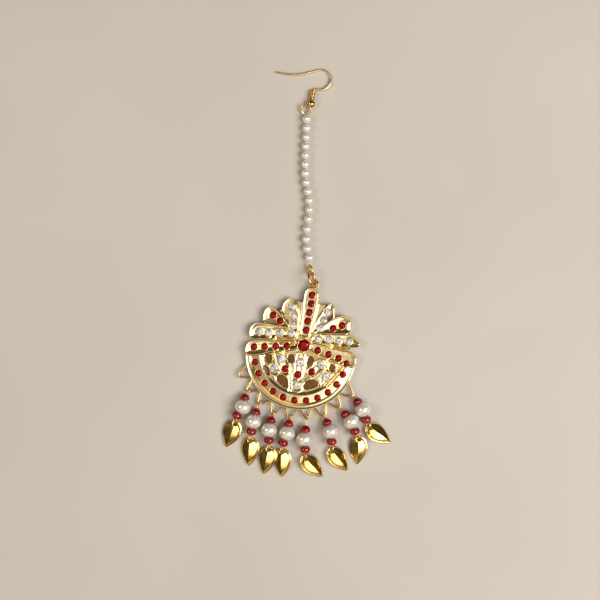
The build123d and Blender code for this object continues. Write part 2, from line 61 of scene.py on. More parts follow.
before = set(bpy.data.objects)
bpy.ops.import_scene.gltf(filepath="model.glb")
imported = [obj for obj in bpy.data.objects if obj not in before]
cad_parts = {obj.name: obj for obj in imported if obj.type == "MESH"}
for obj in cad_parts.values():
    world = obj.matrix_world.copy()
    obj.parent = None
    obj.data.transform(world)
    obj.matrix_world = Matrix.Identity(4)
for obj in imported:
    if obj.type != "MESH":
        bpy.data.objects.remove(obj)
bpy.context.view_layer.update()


def polar(radius, angle):
    return radius * cos(radians(angle)), radius * sin(radians(angle))


# ---- layout tables, millimetres and degrees ----

PENDANT_AT = Vector((-1.75, -28.52, 0))
PENDANT_TURN = -10.3
CENTRE_STONE = (0.41, 3.21, 3.2, 2.05)          # x, y, girdle height, radius
BAIL = (0.25, 24.75, 1.75, 1.40, 0.33)          # x, y, height, ring radius, wire radius
CRESCENT_FROM, CRESCENT_TO = -172, 6
CASTING_LOW, CASTING_HIGH = (-20.2, -19.9), (20.6, 24.0)    # corners round the pendant, in its own frame
CASTING_BACK = 0.03                             # height of its back
BACKING = (0.10, 0.35)                          # bottom and top of the sheet behind the lattice, low enough to take the casting's painted shade in full

# outline, height of the edge, height of the valley, width of its slope, and the valley's rise along x and y
TRAYS = {
    "petal_1": ([(-17.8, 2.2), (-18.9, 3.2), (-19.2, 5.6), (-18.2, 7.6), (-16.4, 8.3), (-13.0, 8.3),
                 (-9.0, 8.2), (-5.6, 8.7), (-2.6, 7.2), (-3.0, 4.8), (-7.1, 3.9), (-12.0, 3.2)],
                2.85, 2.3, 1.2, -0.06, 0.17),
    "petal_2": ([(-14.9, 8.5), (-15.4, 11.0), (-15.1, 13.1), (-14.0, 14.5), (-12.4, 14.4),
                 (-10.2, 13.2), (-8.1, 11.4), (-5.0, 8.5), (-9.3, 8.1)], 2.85, 2.35, 1.8, -0.03, 0.0),
    "petal_3": ([(-9.3, 14.0), (-9.3, 16.1), (-8.3, 17.9), (-7.1, 18.7), (-5.6, 18.2),
                 (-4.3, 16.4), (-2.9, 12.5), (-1.9, 6.6), (-5.8, 9.0), (-7.5, 11.2)],
                2.7, 2.45, 1.0, 0.0, 0.0),
    "petal_4": ([(-1.5, 6.0), (-1.8, 10.5), (-2.1, 15.0), (-2.5, 19.0), (-2.5, 21.8), (-1.6, 23.0),
                 (0.1, 23.4), (1.5, 22.9), (2.4, 21.7), (2.7, 18.7), (2.6, 15.0), (2.1, 11.0), (1.6, 6.0)],
                2.75, 2.53, 0.5, 0.0, 0.0),
    "petal_5": ([(1.2, 6.4), (4.5, 15.2), (6.2, 18.5), (7.4, 19.4), (8.4, 18.4), (8.9, 16.9),
                 (9.4, 14.8), (6.5, 12.1)], 2.8, 2.35, 1.0, 0.0, 0.0),
    "petal_6": ([(2.4, 7.6), (6.4, 11.8), (9.2, 14.5), (12.0, 15.7), (13.7, 15.6), (14.8, 14.9),
                 (15.4, 13.4), (15.8, 10.1), (10.0, 8.9), (5.8, 8.3)], 2.95, 2.35, 1.4, -0.04, 0.05),
    "petal_7": ([(2.4, 4.8), (3.0, 7.2), (6.0, 8.4), (10.0, 9.0), (15.4, 9.9), (17.2, 9.2), (18.9, 8.2),
                 (19.8, 6.9), (19.0, 5.6), (14.0, 5.1), (8.0, 4.9)], 2.75, 2.35, 1.0, 0.0, 0.02),
    "arm_left": ([(-19.3, -2.8), (-19.5, -0.8), (-18.9, 0.7), (-17.5, 1.7), (-14.5, 2.5), (-8.0, 3.4),
                  (-1.6, 4.7), (-1.4, 1.5), (-5.7, 0.2), (-10.9, -1.0), (-14.0, -2.6), (-17.8, -3.5)],
                 2.85, 2.3, 1.2, -0.06, 0.12),
    "arm_right": ([(2.2, 4.5), (6.0, 4.5), (11.0, 4.2), (17.4, 3.8), (19.2, 2.6), (19.6, 0.8),
                   (18.4, -1.2), (15.6, -1.4), (12.1, -0.5), (7.4, 0.4), (2.4, 1.7)],
                  2.7, 2.4, 1.2, 0.0, 0.0),
    "leaf_left": ([(-9.4, -1.5), (-7.3, -0.9), (-5.4, -1.3), (-4.2, -3.0), (-3.0, -5.0), (-2.6, -7.0),
                   (-3.6, -8.5), (-5.4, -8.2), (-7.0, -6.0), (-8.7, -3.7)], 2.35, 2.15, 0.5, -0.16, 0.0),
    "leaf_centre": ([(-1.5, 0.6), (1.2, 0.8), (1.9, -1.4), (2.0, -4.5), (1.8, -7.6), (0.6, -8.9),
                     (-0.9, -8.3), (-1.6, -5.5), (-1.7, -2.5)], 2.35, 2.15, 0.4, -0.16, 0.0),
    "leaf_right": ([(5.2, -1.4), (7.4, -0.4), (9.3, -0.8), (10.1, -2.2), (9.0, -3.8), (6.9, -5.8),
                    (4.6, -7.2), (3.0, -6.2), (3.3, -4.4), (4.6, -3.4)], 2.35, 2.15, 0.5, -0.16, 0.0),
    "leaf_low_left": ([(-11.0, -6.4), (-9.2, -4.4), (-7.2, -5.6), (-5.9, -7.6), (-6.9, -9.2),
                       (-9.2, -8.8), (-10.7, -7.8)], 2.3, 2.1, 0.4, -0.10, 0.0),
    "leaf_low_right": ([(8.0, -5.6), (9.9, -4.0), (12.1, -4.4), (12.1, -6.5), (10.8, -8.7),
                        (8.9, -10.2), (8.0, -8.6)], 2.3, 2.1, 0.4, -0.14, 0.0),
    "leaf_bottom": ([(-1.4, -9.6), (0.5, -9.2), (2.1, -9.6), (2.7, -11.7), (1.9, -13.1),
                     (-0.4, -13.3), (-1.6, -11.8)], 2.3, 2.1, 0.4, -0.14, 0.0),
}
WEB_TOP, LATTICE_TOP = 2.2, 1.85
FAN_WEBS = [(-9.2, 14.6), (-6.0, 17.9), (-2.2, 18.0), (2.4, 18.2), (6.2, 18.5), (9.3, 14.9), (15.7, 10.0),
            (17.6, 3.8), (2.0, 2.0), (-2.0, 2.0), (-17.8, 1.9), (-14.9, 8.8)]
HUB = [(-13, 2.2), (13, 2.2), (13, -0.2), (-13, -0.2)]
LATTICE_HOLES = [
    [(-12.8, -3.0), (-10.0, -1.6), (-9.4, -4.1), (-10.9, -5.3)],
    [(-4.4, -0.9), (-2.2, -0.5), (-2.2, -3.7), (-2.9, -3.8), (-4.2, -2.2)],
    [(2.6, -0.5), (3.9, -0.2), (5.0, -1.1), (4.4, -2.5), (3.2, -3.8), (2.6, -3.3)],
    [(10.7, -1.3), (12.6, -1.9), (12.6, -3.2), (11.9, -4.5), (10.4, -3.4)],
    [(-12.3, -6.1), (-11.1, -5.8), (-9.6, -8.5), (-9.9, -9.7)],
    [(-6.0, -8.0), (-2.8, -9.5), (-2.3, -12.5), (-4.3, -12.2), (-7.2, -9.9)],
    [(3.4, -8.8), (6.4, -7.8), (8.0, -9.2), (6.6, -10.7), (3.7, -12.0), (2.8, -10.9)],
]
# raised lines: start, end, height of the crest; then cut lines: start, end, height of the bottom
BARS = [
    ((-3.3, -7.6), (-2.1, -13.3), 2.1), ((-2.0, -7.0), (-1.2, -13.2), 2.1), ((2.9, -9.0), (6.8, -5.8), 2.1),
    ((12.9, -1.4), (9.6, -9.6), 2.0), ((-12.9, -2.6), (-7.4, -10.2), 2.0),
]
CUTS = [((15.6, -1.4), (10.6, -9.4), 1.3), ((10.6, 4.5), (17.2, 4.2), 1.2), ((-9.4, 3.8), (-3.4, 4.7), 1.2)]

# how the relief falls: half a raised line's flat crest and its slope, then the same of a cut line's bottom
BAR_HALF, BAR_SLOPE = 0.15, 1.6
CUT_HALF, CUT_SLOPE = 0.12, 2.0
# a tray's rim: width of its crest, where the bank outside it starts and how far below, and how little a rim's
# shoulders lie under its crest
RIM_WIDTH, BANK_FROM, BANK_DROP, SHOULDER = 0.12, -0.6, 1.0, 0.02
# a rim's width with its inner round, and how far that falls: in the fan, then in the lattice
FAN_EDGE, LATTICE_EDGE = (0.42, 0.20), (0.36, 0.14)
FAN_RIM_LEAST = 2.5                     # the fan's rims are higher than this, and the lattice's lower
EDGE_ROUND = 0.16                       # width of the round
LATTICE_LAP, BAND_LAP = 0.3, 0.05       # how far the lattice and the crescent reach past their shared edge
LATTICE_EDGE_Y = 0.5                    # where the lattice ends, under the arms
HOLE_BANK, HOLE_RISE, HOLE_DROP = 0.4, 0.6, 0.15    # bank round each of the lattice's openings

# crescent's section: radius, height
CRESCENT_SECTION = [(13.2, 1.75), (13.5, 1.95), (13.8, 2.0), (14.2, 2.4), (14.5, 2.45), (16.9, 2.29),
                    (17.2, 2.24), (18.3, 1.8), (18.6, 1.76), (18.95, 1.9), (19.15, 2.02), (19.4, 2.0)]

# stones: field: (radius, girdle height, places)
RED_R, WHITE_R, LATTICE_R = 1.225, 1.325, 1.5
LOW_GIRDLE, HIGH_GIRDLE = 2.35, 2.75
CRESCENT_STONE_R, CRESCENT_STONE_FROM, CRESCENT_STONE_STEP = 16.2, -160.2, 14.45
STONES = {
    "stones_crescent": (RED_R, LOW_GIRDLE, [
        polar(CRESCENT_STONE_R, CRESCENT_STONE_FROM + CRESCENT_STONE_STEP * i) for i in range(12)]),
    "stones_arm_left": (RED_R, HIGH_GIRDLE, [(-16.6, -0.4), (-13.0, 0.4), (-9.2, 1.2), (-5.4, 2.0)]),
    "stones_arm_right": (RED_R, HIGH_GIRDLE, [(5.4, 2.3), (9.4, 1.6), (13.1, 0.9)]),
    "stones_petal_1": (WHITE_R, HIGH_GIRDLE, [(-15.9, 5.3), (-12.5, 5.4), (-8.7, 5.9), (-4.7, 6.6)]),
    "stones_petal_2": (RED_R, HIGH_GIRDLE, [(-12.0, 11.7), (-9.3, 10.1)]),
    "stones_petal_3": (WHITE_R, HIGH_GIRDLE, [(-6.2, 15.8), (-4.8, 12.8), (-4.6, 9.6)]),
    "stones_petal_4": (RED_R, HIGH_GIRDLE, [(0.1, 21.0), (0.3, 18.0), (0.2, 14.9), (0.2, 11.8), (0.2, 8.6)]),
    "stones_petal_5": (WHITE_R, HIGH_GIRDLE, [(6.4, 16.2), (5.6, 13.2), (4.8, 10.2)]),
    "stones_petal_6": (RED_R, HIGH_GIRDLE, [(12.3, 12.4), (9.4, 10.8)]),
    "stones_petal_7": (WHITE_R, HIGH_GIRDLE, [(15.6, 7.4), (12.1, 6.9), (8.7, 6.7), (5.0, 6.4)]),
    "stones_lattice_red": (RED_R, LOW_GIRDLE, [(-4.6, -6.0), (0.1, -7.2), (4.7, -5.4)]),
    "stones_lattice_white": (LATTICE_R, LOW_GIRDLE, [(-6.6, -2.9), (0.1, -2.9), (7.4, -2.4),
                                                     (-8.4, -6.5), (9.7, -6.3), (0.4, -10.9)]),
}
WHITE_FIELDS = {"stones_petal_1", "stones_petal_3", "stones_petal_5", "stones_petal_7",
                "stones_lattice_white"}
STONE_SUNK = 0.86               # how far a stone's point lies under its girdle, in radii

ZIGZAG_Z, ZIGZAG_WIRE, ZIGZAG_BEND = 1.6, 0.34, 0.7     # height, wire radius, radius of each bend
ZIGZAG_START, ZIGZAG_STEP, ZIGZAG_ROOT = -158.2, 15.2, 19.5
ZIGZAG_REACH = [22.6, 22.4, 22.3, 23.0, 22.4, 22.1, 23.1, 22.9, 23.1]   # radius of each tip
SOLDER_SECTION = [(0.02, -0.34), (0.26, -0.24), (0.44, 0), (0.26, 0.24), (0.02, 0.34)]
SOLDER_INSET = 0.1              # how far a solder drop sits inside the root

# where the pearl string's straight spans end: x, y
STRAND_KNOTS = [
    (0.25, 55.32), (0.30, 52.02), (0.10, 48.95), (0.00, 45.80), (-0.15, 42.60), (-0.25, 39.45),
    (-0.30, 36.30), (-0.25, 33.10), (0.35, 29.95), (0.95, 26.80), (1.25, 23.60), (1.10, 20.40),
    (0.60, 17.00), (0.10, 13.45), (0.00, 10.00), (0.80, 6.80), (1.40, 3.65),
]
STRAND_Z, STRAND_TOP_LIFT = 1.55, 0.64
STRAND_UNEVEN, STRAND_BEAT = 0.012, 2.4     # how much pearls differ in size, and how fast
STRAND_CLEAR, STRAND_POLE = 1.015, 0.985    # least height of a pearl's middle, and its pole, in radii
THREAD_HOLE_R = 0.3

# drops: zigzag tip; pearl x, y; directions of the lower half, of the lower eye and of the leaf; the leaf's
# roll and pitch; how steeply its broad and narrow facets fall; the side (+1 or -1) that the broad one is on
DROPS = [
    (1, -21.98, -46.94, -127, -83, -112, 0, 9.0, 12, 28, -1),
    (2, -18.34, -51.98, -103, -86, -95, 14, 8.7, 24, 20, -1),
    (3, -12.85, -54.92, -92, -84, -103, 10, 8.9, 22, 20, -1),
    (4, -6.62, -56.10, -112, -84, -92, 15, 8.5, 24, 20, -1),
    (5, -0.60, -58.14, -85, -100, -47, -11, 8.9, 11, 22, 1),
    (6, 8.60, -55.45, -85, -95, -52, -11, 8.9, 11, 22, 1),
    (7, 15.86, -51.98, -72, -51, -94, 0, 9.0, 13, 28, -1),
    (8, 19.88, -47.85, -73, -64, -36, -14, 8.7, 13, 20, 1),
]
DROP_PEARL_Z, DROP_SLOPE, DROP_EYE_R, BEAD_AT = 2.9, 8, 0.95, 3.58
DROP_END = 4.88                 # from the pearl's centre to the start of the lower eye
PEARL_POLE = 2.5                # from a drop pearl's centre to the flat round its drill mouth
LEAF_SECTIONS = [  # distance from the hole towards the point, half width
    (-1.05, 0.55), (-0.85, 1.05), (-0.3, 1.85), (0.6, 2.6), (2.0, 3.1),
    (3.4, 3.2), (5.2, 2.75), (7.0, 1.85), (8.4, 0.95), (9.35, 0.12),
]
LEAF_LOW, LEAF_HIGH = (-3.3, -1.2), (3.31, 9.5)     # corners round a leaf
LEAF_DROP = 0.45                # how far the leaf's back hangs under its hole's centre
LEAF_HOLE_R = 0.72
LEAF_HOLE_DIP = (0.12, 0.3)     # depth and width of the dip that punching leaves
LEAF_GRID = 0.11
LEAF_CREST = (3.3, 0.024)       # where its ridge is highest, and how fast it falls from there
# a leaf's flared edge on its broad side: depth inside the outline, height
LEAF_FLANK = [(0.0, 0.2), (0.08, 0.3), (0.2, 0.34), (0.55, 0.42), (0.75, 0.76), (0.95, 1.22), (1.1, 1.6),
              (4.0, 3.0)]
NARROW_FLANK = 2.2              # how much steeper it is on the narrow side
LEAF_BOW = 0.010                # how much the facets bow, per millimetre squared
# sections of a drop's lower and upper bead: radius, distance from its middle away from the pearl
BEAD_SECTION = [(0.36, -0.98), (1.02, -0.97), (1.46, -0.82), (1.74, -0.42), (1.85, 0.10), (1.74, 0.62),
                (1.46, 1.02), (1.02, 1.20), (0.36, 1.22)]
TOP_BEAD_SECTION = [(0.36, -0.98), (1.38, -0.97), (1.76, -0.80), (1.82, -0.42), (1.68, 0.10), (1.42, 0.62),
                    (1.12, 1.02), (0.76, 1.20), (0.36, 1.22)]

# flats round each round piece; the upper beads are faceted, and show theirs
CUP_SIDES, ZIGZAG_SIDES, BAIL_SIDES = 28, 12, 14
STRING_PEARL_SIDES, DROP_PEARL_SIDES = 28, 44
BEAD_SIDES, TOP_BEAD_SIDES = 24, 9

# takes the pendant's own frame to the layout's
PENDANT_PLACE = Matrix.Translation(PENDANT_AT) @ Matrix.Rotation(radians(PENDANT_TURN), 4, "Z")


def frame_home():
    """What takes the layout's millimetres to the frame's: found from the centre stone's box."""
    low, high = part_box("centre_stone")
    x, y, girdle, radius = CENTRE_STONE
    middle = (low + high) * 500
    home = middle - PENDANT_PLACE @ Vector((x, y, 0))
    home.z = low.z * 1000 - (girdle - STONE_SUNK * radius)
    return home


HOME = frame_home()


# ---- colours and settings ----

def hex_colour(text):
    """An sRGB hex value as a linear colour."""
    values = [int(text[i:i + 2], 16) / 255 for i in (1, 3, 5)]
    return [v / 12.92 if v <= 0.04045 else ((v + 0.055) / 1.055) ** 2.4 for v in values]


def colour_property(name, text, description):
    """A colour setting whose default is an sRGB hex value."""
    return bpy.props.FloatVectorProperty(name=name, description=description, subtype="COLOR", size=3,
                                         min=0, max=1, default=hex_colour(text))


def length_property(name, default, least, most, description):
    """A length setting, in metres."""
    return bpy.props.FloatProperty(name=name, description=description, default=default, min=least, max=most,
                                   unit="LENGTH", precision=5)


class TikkaSizes(bpy.types.PropertyGroup):
    grid: length_property("Casting grid", 0.00015, 0.0001, 0.001, "Spacing of the pendant's relief")
    string_pearl: length_property("String pearl radius", 0.00156, 0.001, 0.002, "Pearls of the string")
    drop_pearl: length_property("Drop pearl radius", 0.00285, 0.002, 0.003, "Pearls of the drops")
    leaf_crest: length_property("Leaf crest", 0.0018, 0.0005, 0.002, "Greatest height of a leaf's ridge")


class TikkaColours(bpy.types.PropertyGroup):
    cast_gold: colour_property("Cast gold", "#F2DDAC", "Thin pale gold plate on the cast pendant")
    leaf_gold: colour_property("Leaf gold", "#F4CD78", "Yellow gold plate on the leaves")
    fitting_gold: colour_property("Fitting gold", "#DDB264", "Deep gold plate on zigzag, rings and coil")
    wire_gold: colour_property("Wire gold", "#F1D59C", "Gold plate on drawn wire")
    red_glass: colour_property("Red glass", "#AE0E0C", "Ruby red glass")
    bead_glass: colour_property("Red bead glass", "#920C0A", "Red glass of the beads")
    clear_glass: colour_property("Clear glass", "#F6F0EC", "Clear stones over foil")
    pearl_coat: colour_property("Pearl coat", "#EEE8DD", "Nacre coat of the pearls")
    thread: colour_property("Thread", "#E4DFD0", "Waxed thread")
    floor: colour_property("Floor", "#C4BCB2", "Pale studio floor")


# ---- materials ----

def add_node(tree, kind, inputs=(), **settings):
    """Adds a node, sets its properties, and sets or links its inputs."""
    made = tree.nodes.new(kind)
    for key, value in settings.items():
        setattr(made, key, value)
    for key, value in dict(inputs).items():
        if isinstance(value, bpy.types.NodeSocket):
            tree.links.new(value, made.inputs[key])
        else:
            made.inputs[key].default_value = value
    return made


def new_material(name, colour, **inputs):
    """A material with one Principled shader; gives back the material, its tree and the shader."""
    material = bpy.data.materials.new(name)
    material.use_nodes = True
    tree = material.node_tree
    shader = tree.nodes["Principled BSDF"]
    shader.inputs["Base Color"].default_value = (*colour, 1)
    for key, value in inputs.items():
        shader.inputs[key.replace("_", " ")].default_value = value
    return material, tree, shader


def place_on(tree):
    """Where each point lies, in metres."""
    return add_node(tree, "ShaderNodeTexCoord").outputs["Object"]


def surface_noise(tree, millimetres, detail):
    """Noise whose largest lumps are this wide; detail is how many times they divide in two."""
    return add_node(tree, "ShaderNodeTexNoise", {"Vector": place_on(tree), "Scale": 1000 / millimetres,
                                                 "Detail": detail, "Roughness": 0.55}).outputs["Fac"]


def vary(tree, source, low, high, to_low, to_high):
    """The source's span, stretched over another."""
    return add_node(tree, "ShaderNodeMapRange", {"Value": source, "From Min": low, "From Max": high,
                                                 "To Min": to_low, "To Max": to_high}).outputs["Result"]


def roughen(tree, shader, noise, low, high):
    """Polish that drifts between two roughnesses as the noise does."""
    tree.links.new(vary(tree, noise, 0.3, 0.7, low, high), shader.inputs["Roughness"])


def bump(tree, shader, height, millimetres, strength=1.0):
    """Relief this deep, too fine to be in the mesh."""
    made = add_node(tree, "ShaderNodeBump", {"Height": height, "Distance": millimetres / 1000,
                                             "Strength": strength})
    tree.links.new(made.outputs["Normal"], shader.inputs["Normal"])


def facet_glints(tree):
    """Painted reflections: a different level for each of the foil's inner reflections, painted about 0.6 mm
    wide.
    """
    cells = add_node(tree, "ShaderNodeTexVoronoi", {"Vector": place_on(tree), "Scale": 1000 / 0.6})
    return cells.outputs["Color"]


def tint(tree, shader, source, low, high, first, second):
    """Base colour that goes from the first to the second as the source goes from low to high."""
    mixed = add_node(tree, "ShaderNodeMix", {0: vary(tree, source, low, high, 0, 1)}, data_type="RGBA")
    mixed.inputs[6].default_value = (*first, 1)
    mixed.inputs[7].default_value = (*second, 1)
    tree.links.new(mixed.outputs[2], shader.inputs["Base Color"])


# painted shade: the casting turns brown where it lies low, in its recesses, on its hole walls and on the
# sheet behind the lattice
PAINTED_SHADE_COLOUR = "#8C6742"
PAINTED_SHADE_HEIGHTS = (0.7, 1.5)       # where the painted shade is full and where it ends, above the table


def gold_plated_casting(colours):
    """Gold-plated zinc alloy, spin cast and tumbled: bright, with highlights that wander softly.

    Brown painted shade fills the recesses and low parts and makes the raised work stand out.
    """
    base = Vector(colours.cast_gold)
    material, tree, shader = new_material("gold_plated_casting", base, Metallic=1.0, Roughness=0.2)
    lumps = surface_noise(tree, 5.0, detail=1.0)
    height = add_node(tree, "ShaderNodeSeparateXYZ", {"Vector": place_on(tree)}).outputs["Z"]
    # painted shade: brown at the lower height, fading to the plate's gold by the upper one
    low, high = ((z + HOME.z) / 1000 for z in PAINTED_SHADE_HEIGHTS)
    tint(tree, shader, height, low, high, hex_colour(PAINTED_SHADE_COLOUR), base)
    roughen(tree, shader, lumps, 0.13, 0.22)
    # waves 3 mm across that tumbling leaves; they shift reflections by a degree or two
    bump(tree, shader, surface_noise(tree, 3.0, detail=1.0), 0.10, 0.5)
    return material


def polished_plate(name, colour):
    """Polished metal whose faint waves, 2 mm across, bend what it mirrors."""
    material, tree, shader = new_material(name, colour, Metallic=1.0, Roughness=0.15)
    waves = surface_noise(tree, 2.0, detail=1.0)
    roughen(tree, shader, waves, 0.12, 0.22)
    bump(tree, shader, waves, 0.05, 0.5)
    return material


def gold_plated_stamping(colours):
    """Gold-plated brass, stamped and polished: a yellow mirror with crisp light and dark."""
    return polished_plate("gold_plated_stamping", colours.leaf_gold)


def gold_plated_fittings(colours):
    """Gold-plated brass fittings, barrel polished: a deeper, redder yellow than the leaves."""
    return polished_plate("gold_plated_fittings", colours.fitting_gold)


def gold_plated_wire(colours):
    """Gold-plated brass wire, drawn: bright along its length, with soft, slightly broken highlights."""
    material, tree, shader = new_material("gold_plated_wire", colours.wire_gold, Metallic=1.0, Roughness=0.3)
    marks = surface_noise(tree, 0.6, detail=2.0)
    roughen(tree, shader, marks, 0.24, 0.36)
    bump(tree, shader, marks, 0.02, 0.4)
    return material


def ruby_cut_glass(colours):
    """Ruby glass, cut and backed with foil: deep red, bright red where a facet mirrors a light, and painted
    glints of lighter and darker red.
    """
    base = Vector(colours.red_glass)
    material, tree, shader = new_material("ruby_cut_glass", base, Roughness=0.08, Metallic=0.6,
                                          Coat_Weight=0.2, Coat_Roughness=0.03)
    # painted reflections: each cell is a lighter or darker red
    tint(tree, shader, facet_glints(tree), 0.2, 0.9, base * 0.45, base * 1.3)
    return material


def clear_cut_glass(colours):
    """Clear glass, cut and backed with foil: a mirror of its facets, broken further by painted reflections in
    white and grey.
    """
    base = Vector(colours.clear_glass)
    material, tree, shader = new_material("clear_cut_glass", base, Roughness=0.06, Metallic=0.3, IOR=1.55,
                                          Coat_Weight=1.0, Coat_Roughness=0.03)
    # painted reflections: each cell is a whiter or greyer facet
    tint(tree, shader, facet_glints(tree), 0.25, 0.6, base * 0.4, base)
    return material


def red_bead_glass(colours):
    """Red glass seed beads, tumbled: glossy, with light that soaks in."""
    base = Vector(colours.bead_glass)
    material, tree, shader = new_material("red_bead_glass", base, Roughness=0.10, IOR=1.52, Metallic=0.3,
                                          Coat_Weight=0.5, Coat_Roughness=0.05)
    clouds = surface_noise(tree, 1.2, detail=1.0)
    tint(tree, shader, clouds, 0.35, 0.65, base * 0.75, base * 1.2)
    bump(tree, shader, clouds, 0.08, 0.3)
    return material


def pearl_coated_bead(colours):
    """Pearl coat on a moulded bead: bright in the middle and greyer to the edge, under a clear soft shine."""
    base = Vector(colours.pearl_coat)
    material, tree, shader = new_material("pearl_coated_bead", base, Roughness=0.30, Metallic=0.45,
                                          Coat_Weight=1.0, Coat_Roughness=0.10)
    clouds = surface_noise(tree, 1.5, detail=2.0)
    tint(tree, shader, clouds, 0.35, 0.65, base * 0.95, base)
    bump(tree, shader, clouds, 0.02, 0.3)
    return material


def twisted_thread(colours):
    """Twisted polyester thread, waxed: matt, with fine twist lines."""
    material, tree, shader = new_material("twisted_thread", colours.thread, Roughness=0.7)
    twist = add_node(tree, "ShaderNodeTexWave", {"Vector": place_on(tree), "Scale": 1000 / 0.5})
    bump(tree, shader, twist.outputs["Fac"], 0.03)
    return material


def painted_board(colours):
    """Board under eggshell paint: matt, with a roller's faint grain and a tone that drifts a little."""
    base = Vector(colours.floor)
    material, tree, shader = new_material("painted_board", base, Roughness=0.75)
    drift = surface_noise(tree, 90.0, detail=2.0)
    tint(tree, shader, drift, 0.3, 0.7, base * 0.96, base * 1.02)
    bump(tree, shader, surface_noise(tree, 0.8, detail=2.0), 0.02, 0.4)
    return material


# what makes the material of each of the record's slots; each material has its maker's name
MAKERS = {
    "gold_pale": gold_plated_casting, "gold_bright": gold_plated_fittings, "gold_leaf": gold_plated_stamping,
    "gold_wire": gold_plated_wire, "pearl": pearl_coated_bead, "thread": twisted_thread,
    "red_stone": ruby_cut_glass, "white_stone": clear_cut_glass, "red_bead": red_bead_glass,
}


def finish_for(slot):
    """The finished material of one slot, made once."""
    maker = MAKERS[slot]
    return bpy.data.materials.get(maker.__name__) or maker(bpy.context.scene.tikka_colours)


def dress(node, slot):
    """Gives a CAD node its finished material."""
    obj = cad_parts[node]
    obj.data.materials.clear()
    obj.data.materials.append(finish_for(slot))


# ---- form building ----

class Form:
    """Points and faces of one piece, in the layout's millimetres."""

    def __init__(self):
        self.points, self.faces = [], []
        self.count = 0

    def add(self, points, faces, place=None):
        points = [Vector(p) for p in points]
        if place is not None:
            points = [place @ p for p in points]
        self.points += points
        self.faces += [[i + self.count for i in face] for face in faces]
        self.count += len(points)

    def make(self, name, slot, sharp):
        mesh = bpy.data.meshes.new(name)
        mesh.from_pydata([(p + HOME) / 1000 for p in self.points], [], self.faces)
        mesh.validate()
        mesh.update()
        return piece_of(mesh, slot, sharp)


def put(name, data):
    """Puts an object with this data in the scene."""
    obj = bpy.data.objects.new(name, data)
    bpy.context.scene.collection.objects.link(obj)
    return obj


def piece_of(mesh, slot, sharp):
    """A finished piece that rides on the frame, smooth but for edges sharper than this many degrees."""
    mesh.materials.append(finish_for(slot))
    mesh.shade_smooth()
    mesh.set_sharp_from_angle(angle=radians(sharp))
    obj = put(mesh.name, mesh)
    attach(obj, "root")
    return obj


def lathe(profile, sides):
    """Points and faces of a closed section turned about Z: the profile is radius, height."""
    points, faces = [], []
    for k in range(sides):
        angle = 2 * pi * k / sides
        points += [(r * cos(angle), r * sin(angle), z) for r, z in profile]
    n = len(profile)
    for k in range(sides):
        here, after = k * n, (k + 1) % sides * n
        for j in range(n):
            up = (j + 1) % n
            faces.append((here + j, after + j, after + up, here + up))
    return points, faces


def tube(path, radius, sides, closed=False):
    """Points and faces of a round wire along a path."""
    path = [Vector(p) for p in path]
    count = len(path)
    points, faces = [], []
    side = None
    for k, here in enumerate(path):
        before = path[k - 1] if k or closed else here
        after = path[(k + 1) % count] if k < count - 1 or closed else here
        along = (after - before).normalized()
        if side is None:
            side = along.orthogonal()
        side = (side - along * side.dot(along)).normalized()
        other = along.cross(side)
        points += [here + (side * cos(a) + other * sin(a)) * radius
                   for a in (2 * pi * j / sides for j in range(sides))]
    for k in range(count if closed else count - 1):
        a, b = k * sides, (k + 1) % count * sides
        for j in range(sides):
            up = (j + 1) % sides
            faces.append((a + j, a + up, b + up, b + j))
    if not closed:
        faces.append(tuple(reversed(range(sides))))
        faces.append(tuple(range((count - 1) * sides, count * sides)))
    return points, faces


def circle_path(centre, normal, radius, steps=40):
    """Points round a circle."""
    normal = Vector(normal).normalized()
    side = normal.orthogonal().normalized()
    other = normal.cross(side)
    return [Vector(centre) + (side * cos(a) + other * sin(a)) * radius
            for a in (2 * pi * k / steps for k in range(steps))]


def rounded_path(corners, radius, steps=6):
    """A path through corners, each rounded to the radius."""
    corners = [Vector(c) for c in corners]
    path = [corners[0]]
    for before, here, after in zip(corners, corners[1:], corners[2:]):
        inward, outward = (before - here).normalized(), (after - here).normalized()
        opening = acos(max(-1, min(1, inward.dot(outward))))
        reach = radius / tan(opening / 2)
        centre = here + (inward + outward).normalized() * radius / sin(opening / 2)
        start, end = here + inward * reach - centre, here + outward * reach - centre
        path += [centre + start.slerp(end, k / steps) for k in range(steps + 1)]
    return path + [corners[-1]]


def facing(centre, direction):
    """Placement whose Z is the direction."""
    return Matrix.Translation(centre) @ Vector(direction).to_track_quat("Z", "Y").to_matrix().to_4x4()


def heading(angle, slope):
    """Direction along the table, sloping down by so many degrees."""
    x, y = polar(cos(radians(slope)), angle)
    return Vector((x, y, -sin(radians(slope))))


def heading_up(tilt, turn):
    """Direction that leans so many degrees from straight up, towards the turn's side."""
    return Vector((*polar(sin(radians(tilt)), turn), cos(radians(tilt))))


# ---- pendant ----

def smooth_outline(points, rounds=2, share=0.22):
    """Closed outline with its corners cut round, each time at this share of the sides."""
    points, rest = np.array(points, float), 1 - share
    for _ in range(rounds):
        after = np.roll(points, -1, axis=0)
        points = np.stack([rest * points + share * after, share * points + rest * after], 1).reshape(-1, 2)
    return points


def depth_inside(spots, outline, reach=3.0):
    """Distance of each spot from an outline, positive inside it; spots out of reach have minus the reach."""
    depth = np.full(len(spots), -reach)
    near = np.all((spots > outline.min(0) - reach) & (spots < outline.max(0) + reach), axis=1)
    x, y = spots[near, 0], spots[near, 1]
    least = np.full(len(x), np.inf)
    inside = np.zeros(len(x), bool)
    for (ax, ay), (bx, by) in zip(outline, np.roll(outline, -1, axis=0)):
        ex, ey = bx - ax, by - ay
        t = np.clip(((x - ax) * ex + (y - ay) * ey) / (ex * ex + ey * ey + 1e-12), 0, 1)
        least = np.minimum(least, np.hypot(x - ax - t * ex, y - ay - t * ey))
        if abs(ey) > 1e-9:
            inside ^= ((ay > y) != (by > y)) & (x < ex * (y - ay) / ey + ax)
    depth[near] = np.where(inside, least, -least)
    return depth


